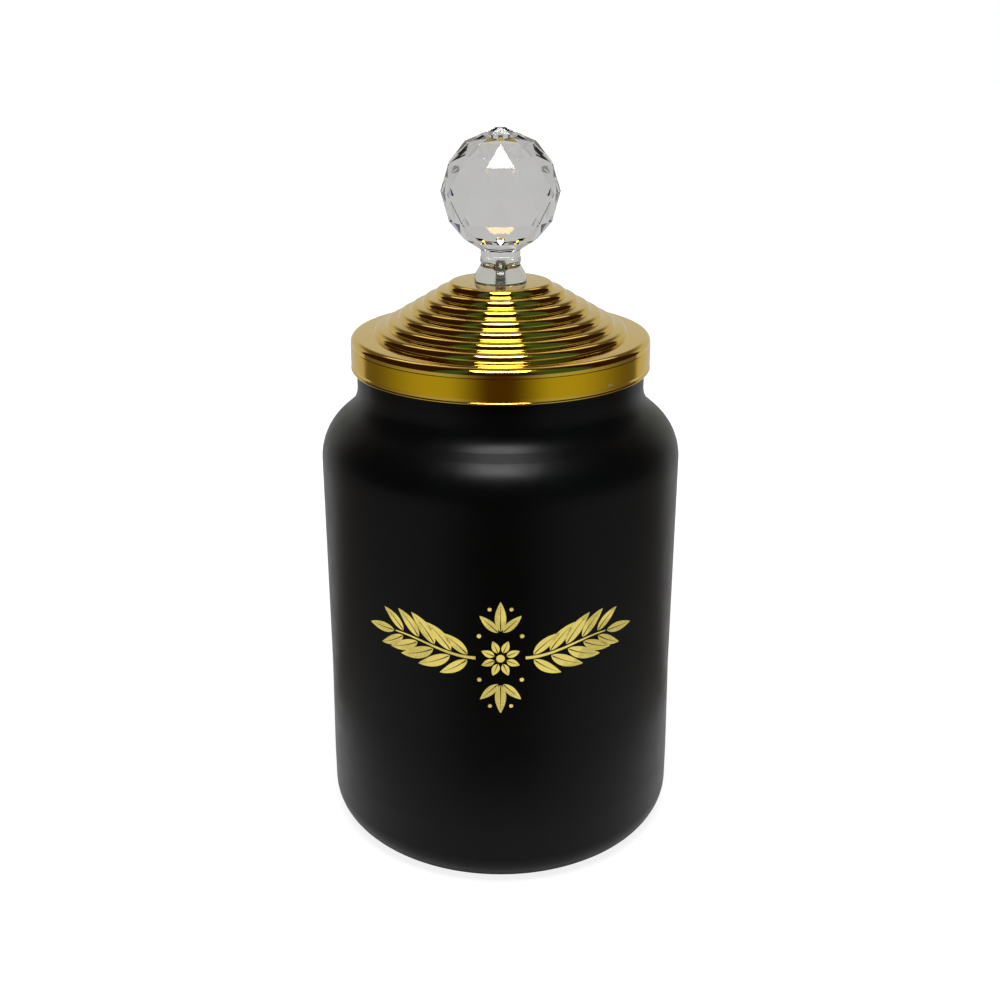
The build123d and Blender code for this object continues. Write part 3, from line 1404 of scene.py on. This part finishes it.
class StageSettings(PropertyGroup):
    camera_side: FloatProperty(
        name="Camera Side",
        description="How far to the right of the axis the camera stands",
        default=-0.00015,
        unit="LENGTH",
    )
    camera_height: FloatProperty(
        name="Camera Height",
        description="Height of the camera above the table",
        default=0.2373,
        unit="LENGTH",
    )
    camera_distance: FloatProperty(
        name="Camera Distance",
        description="How far in front of the axis the camera stands",
        default=0.3605,
        unit="LENGTH",
    )
    camera_pitch: FloatProperty(
        name="Camera Pitch",
        description="How far the camera looks down",
        subtype="ANGLE",
        default=radians(20.79),
    )
    camera_lens: FloatProperty(
        name="Camera Lens",
        description="Focal length in millimetres on a 36 millimetre sensor",
        default=46.09,
        min=1.0,
    )
    key_level: FloatProperty(
        name="Key Level",
        description="Brightness of the soft lamp above the front, where 1 is white",
        default=15.0,
        min=0.0,
    )
    key_turn: FloatProperty(
        name="Key Turn",
        description="Half the angle that the key lamp covers from side to side",
        subtype="ANGLE",
        default=radians(36.0),
    )
    key_low: FloatProperty(
        name="Key Bottom",
        description="Angle of the key lamp's lower edge above the table",
        subtype="ANGLE",
        default=radians(53.0),
    )
    key_high: FloatProperty(
        name="Key Top",
        description="Angle of the key lamp's upper edge above the table",
        subtype="ANGLE",
        default=radians(76.0),
    )
    key_distance: FloatProperty(
        name="Key Distance",
        description="Distance from the canister to the key lamp",
        default=1.1,
        unit="LENGTH",
    )
    room_level: FloatProperty(
        name="Room Level",
        description="Light that the room gives from all round, where 1 is white",
        default=0.2,
        min=0.0,
    )
    wall_colour: FloatVectorProperty(
        name="Wall Colour",
        description="Pale wall behind the canister, as metal shows it",
        default=(0.56, 0.56, 0.5),
        **COLOUR,
    )
    high_colour: FloatVectorProperty(
        name="High Wall Colour",
        description="Upper wall behind the canister, as metal shows it",
        default=(0.13, 0.1, 0.065),
        **COLOUR,
    )
    strip_level: FloatProperty(
        name="Strip Level",
        description="Brightness of the pale strips high behind, as metal shows them",
        default=1.1,
        min=0.0,
    )
    dark_colour: FloatVectorProperty(
        name="Dark Side Colour",
        description="Dark front and sides of the room, as metal shows them",
        default=(0.03, 0.011, 0.006),
        **COLOUR,
    )
    green_colour: FloatVectorProperty(
        name="Green Side Colour",
        description="Dark green between the front and the sides, as metal shows it",
        default=(0.05, 0.11, 0.09),
        **COLOUR,
    )
    green_lean: FloatProperty(
        name="Green Lean",
        description="How much further round the green reaches on the right than on the left",
        subtype="ANGLE",
        default=radians(22.0),
    )
    glass_back: FloatVectorProperty(
        name="Seen Through Glass",
        description="Wall and table as they are seen through the crystal",
        default=(0.545, 0.54, 0.525),
        **COLOUR,
    )
    glass_left: FloatVectorProperty(
        name="Left Through Glass",
        description="Left side of the room as it is seen through the crystal",
        default=(0.38, 0.38, 0.38),
        **COLOUR,
    )
    glass_right: FloatVectorProperty(
        name="Right Through Glass",
        description="Right side of the room as it is seen through the crystal",
        default=(0.33, 0.37, 0.45),
        **COLOUR,
    )
    floor_colour: FloatVectorProperty(
        name="Floor Colour",
        description="Pale table top",
        default=(0.8, 0.8, 0.8),
        **COLOUR,
    )
    shade_colour: FloatVectorProperty(
        name="Shade Colour",
        description="Shaded floor straight in front, as metal shows it",
        default=(0.075, 0.042, 0.022),
        **COLOUR,
    )
    far_level: FloatProperty(
        name="Far Level",
        description="Brightness of the floor far from the canister, as metal shows it",
        default=0.85,
        **SHARE,
    )
    table_reach: FloatProperty(
        name="Table Reach",
        description="How far from the axis the pale table top reaches before it is shaded",
        default=0.09,
        unit="LENGTH",
    )


def facing_front(tree, parts):
    """Angle between a point or direction and straight ahead, seen from above."""
    return calc(
        tree,
        "ARCTAN2",
        calc(tree, "ABSOLUTE", parts["X"]),
        calc(tree, "MULTIPLY", parts["Y"], -1.0),
    )


def room(world, settings):
    """White to the camera. Metal sees a pale wall and dark sides, glass a softer room."""
    world.use_nodes = True
    tree = world.node_tree
    tree.nodes.clear()
    parts = parts_of(tree, add(tree, "ShaderNodeTexCoord").outputs["Generated"])
    facing = facing_front(tree, parts)
    across = spread(tree, parts["X"], *SIDES)
    lean = calc(tree, "MULTIPLY", across, settings.green_lean)
    green = calc(
        tree,
        "MULTIPLY",
        spread(tree, facing, *GREEN_RISE),
        spread(tree, calc(tree, "SUBTRACT", facing, lean), *GREEN_FALL, 1.0, 0.0),
    )
    sides = blend(tree, green, rgba(settings.dark_colour), rgba(settings.green_colour))
    up = spread(tree, parts["Z"], *WALL_HEIGHTS)
    wall = blend(tree, up, rgba(settings.wall_colour), rgba(settings.high_colour))
    around = blend(tree, spread(tree, facing, *WALL_RISE), sides, wall)
    level = between(tree, parts["Z"], STRIP_FOOT, STRIP_TOP)
    behind = between(tree, facing, STRIP_RISE, STRIP_FALL)
    strips = calc(tree, "MULTIPLY", level, behind)
    by_metal = blend(tree, strips, around, grey(settings.strip_level))
    glass_sides = blend(tree, across, rgba(settings.glass_left), rgba(settings.glass_right))
    back = spread(tree, facing, *GLASS_RISE)
    by_glass = blend(tree, back, glass_sides, rgba(settings.glass_back))
    path = add(tree, "ShaderNodeLightPath").outputs
    lit = blend(tree, path["Is Glossy Ray"], grey(settings.room_level), by_metal)
    lit = blend(tree, path["Is Transmission Ray"], lit, by_glass)
    colour = blend(tree, path["Is Camera Ray"], lit, grey(1.0))
    light = add(tree, "ShaderNodeBackground", {"Color": colour, "Strength": 1.0})
    end = add(tree, "ShaderNodeOutputWorld")
    tree.links.new(light.outputs["Background"], end.inputs["Surface"])


def table_top(settings):
    """White to the camera with the canister's shadow. Metal sees it shaded in front."""
    material, tree, shader = new_finish("table_top")
    place = place_of(tree)
    parts = parts_of(tree, place)
    reach = reach_of(tree, parts)
    path = add(tree, "ShaderNodeLightPath").outputs
    grain = spread(tree, noise(tree, place, scale=40.0), *SOFT)
    pale = tones(tree, grain, settings.floor_colour, 0.985)
    facing = facing_front(tree, parts)
    level = 0.0
    for angles, change in FLOOR_CHANGES:
        level = calc(tree, "ADD", level, spread(tree, facing, *angles, to_high=change))
    far = blend(tree, level, rgba(settings.shade_colour), pale)
    edge = settings.table_reach
    nearby = spread(tree, reach, edge, edge + TABLE_FADE, to_low=1.0, to_high=0.0)
    by_metal = blend(tree, nearby, far, pale)
    colour = blend(tree, path["Is Glossy Ray"], pale, by_metal)
    plain = add(tree, "ShaderNodeBsdfDiffuse", {"Color": colour}).outputs["BSDF"]
    evenly = blend(tree, settings.far_level, grey(0.0), by_metal)
    tone = blend(tree, path["Is Glossy Ray"], grey(FLOOR_WHITE), evenly)
    tone = blend(tree, path["Is Transmission Ray"], tone, rgba(settings.glass_back))
    glow = add(tree, "ShaderNodeEmission", {"Color": tone})
    cover = spread(tree, reach, *SHADOW_REACH, *SHADOW_COVER)
    distant = spread(tree, reach, *FAR_REACH)
    share = calc(
        tree,
        "ADD",
        calc(tree, "MULTIPLY", path["Is Camera Ray"], cover),
        calc(
            tree,
            "MAXIMUM",
            calc(tree, "MULTIPLY", path["Is Glossy Ray"], distant),
            path["Is Transmission Ray"],
        ),
    )
    mixed = add(tree, "ShaderNodeMixShader", {"Fac": share})
    feed(tree, mixed.inputs[1], plain)
    feed(tree, mixed.inputs[2], glow.outputs["Emission"])
    tree.nodes.remove(shader)
    end = tree.nodes["Material Output"]
    tree.links.new(mixed.outputs["Shader"], end.inputs["Surface"])
    return material


def floor_plane(context, settings):
    """A wide flat floor under the canister."""
    shape = bpy.data.meshes.new("floor")
    signs = ((-1, -1), (1, -1), (1, 1), (-1, 1))
    corners = [(FLOOR_HALF * x, FLOOR_HALF * y, 0.0) for x, y in signs]
    shape.from_pydata(corners, [], [(0, 1, 2, 3)])
    shape.materials.append(table_top(settings))
    floor = put_in(context, "floor", shape)


def key_lamp(context, settings):
    """A large soft lamp above the front, sized by the angles that it covers."""
    middle = (settings.key_low + settings.key_high) / 2
    half = (settings.key_high - settings.key_low) / 2
    lamp = bpy.data.lights.new("key_lamp", "AREA")
    lamp.shape = "RECTANGLE"
    lamp.size = 2.0 * settings.key_distance * sin(settings.key_turn) * cos(middle)
    lamp.size_y = 2.0 * settings.key_distance * sin(half)
    lamp.energy = settings.key_level * pi * lamp.size * lamp.size_y
    rig = put_in(context, "key_lamp", lamp)
    target = Vector((0.0, 0.0, (cad_low.z + cad_high.z) / 2))
    back = Vector((0.0, -cos(middle), sin(middle)))
    rig.location = target + back * settings.key_distance
    rig.rotation_mode = "QUATERNION"
    rig.rotation_quaternion = (-back).to_track_quat("-Z", "Y")


def front_camera(context, settings):
    """The camera in front, looking slightly down."""
    lens = bpy.data.cameras.new("camera")
    lens.lens = settings.camera_lens
    lens.clip_start = 0.01
    camera = put_in(context, "camera", lens)
    camera.location = (settings.camera_side, -settings.camera_distance, settings.camera_height)
    camera.rotation_euler = (pi / 2 - settings.camera_pitch, 0.0, 0.0)
    context.scene.camera = camera


class CANISTER_OT_build_stage(Operator):
    """Set out the floor, the room, the lamp and the camera"""

    bl_idname = "canister.build_stage"
    bl_label = "Build Stage"

    def execute(self, context):
        scene = context.scene
        settings = scene.canister_stage
        if scene.world is None:
            scene.world = bpy.data.worlds.new("room")
        room(scene.world, settings)
        floor_plane(context, settings)
        key_lamp(context, settings)
        front_camera(context, settings)
        scene.view_settings.view_transform = "Standard"
        return {"FINISHED"}


class CANISTER_PT_sidebar(Panel):
    """Lists the finishes of the canister and the stage"""

    bl_idname = "CANISTER_PT_sidebar"
    bl_label = "Sugar Canister"
    bl_space_type = "VIEW_3D"
    bl_region_type = "UI"
    bl_category = "Canister"

    def draw(self, context):
        for group, operator in STEPS:
            settings = getattr(context.scene, group)
            box = self.layout.box()
            box.operator(operator.bl_idname)
            for name in settings.__annotations__:
                box.prop(settings, name)


GROUPS = {
    "canister_jar": JarSettings,
    "canister_ornament": OrnamentSettings,
    "canister_lid": LidSettings,
    "canister_inner_lid": InnerLidSettings,
    "canister_knob": KnobSettings,
    "canister_screw": ScrewSettings,
    "canister_stage": StageSettings,
}

STEPS = (
    ("canister_jar", CANISTER_OT_finish_jar),
    ("canister_ornament", CANISTER_OT_print_ornament),
    ("canister_lid", CANISTER_OT_finish_lid),
    ("canister_inner_lid", CANISTER_OT_finish_inner_lid),
    ("canister_knob", CANISTER_OT_finish_knob),
    ("canister_screw", CANISTER_OT_finish_screw),
    ("canister_stage", CANISTER_OT_build_stage),
)


def register():
    for name, group in GROUPS.items():
        bpy.utils.register_class(group)
        setattr(bpy.types.Scene, name, PointerProperty(type=group))
    for name, operator in STEPS:
        bpy.utils.register_class(operator)
    bpy.utils.register_class(CANISTER_PT_sidebar)


def unregister():
    bpy.utils.unregister_class(CANISTER_PT_sidebar)
    for name, operator in reversed(STEPS):
        bpy.utils.unregister_class(operator)
    for name, group in GROUPS.items():
        delattr(bpy.types.Scene, name)
        bpy.utils.unregister_class(group)


def main():
    register()
    bpy.ops.canister.finish_jar()
    bpy.ops.canister.print_ornament()
    bpy.ops.canister.finish_lid()
    bpy.ops.canister.finish_inner_lid()
    bpy.ops.canister.finish_knob()
    bpy.ops.canister.finish_screw()
    bpy.ops.canister.build_stage()


if __name__ == "__main__":
    main()
